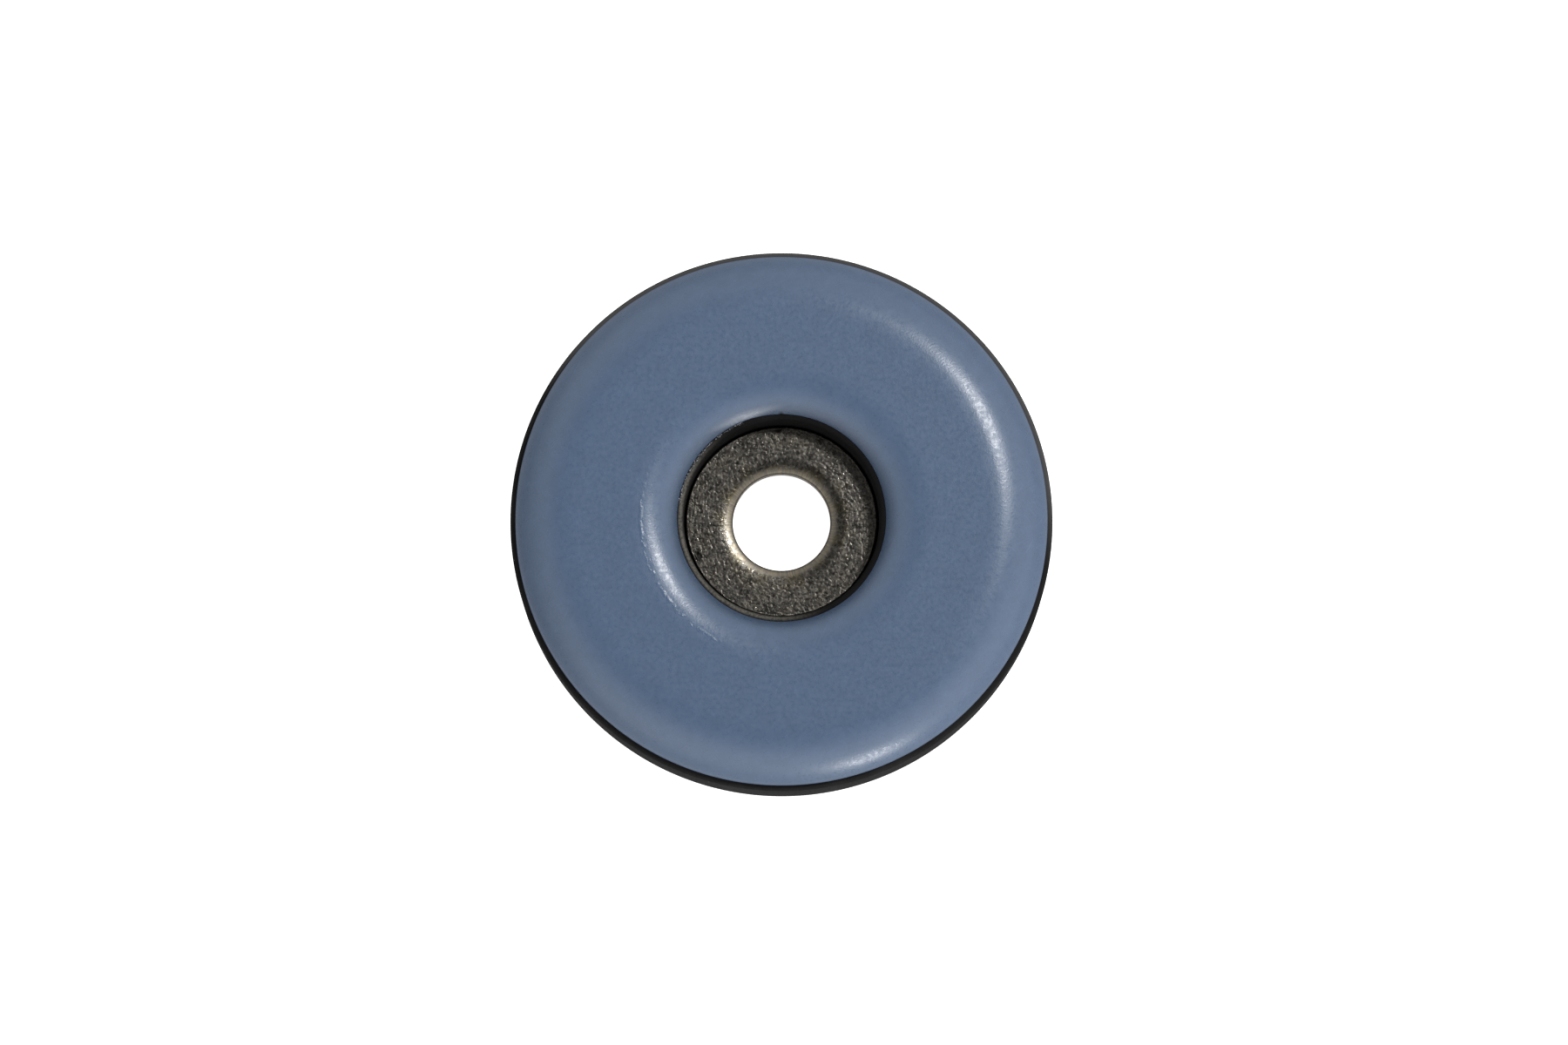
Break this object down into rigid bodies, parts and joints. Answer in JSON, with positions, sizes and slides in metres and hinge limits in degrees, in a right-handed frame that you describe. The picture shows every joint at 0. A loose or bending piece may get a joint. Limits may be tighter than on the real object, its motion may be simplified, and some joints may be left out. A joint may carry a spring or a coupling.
{
  "type": "screw-on furniture glide",
  "caption": "Round furniture glide: a rounded low-friction plastic skin on a rubber base, with a central screw recess and a steel washer at its bottom.",
  "frame": {"origin": "centre of the flat mounting face, on the screw's axis", "axes": "+Z along the screw's axis, from the mounting face to the sliding face; X and Y are free, because the part is round"},
  "size_m": [0.025, 0.025, 0.005],
  "materials": {
    "skin": "blue-grey PTFE sheet, satin",
    "rubber": "black moulded rubber, matte",
    "washer_steel": "dull grainy plated steel, with a smooth rolled edge round the hole"
  },
  "bodies": {
    "root": {"glide_skin": "skin", "rubber_base": "rubber", "washer": "washer_steel"}
  },
  "joints": []
}
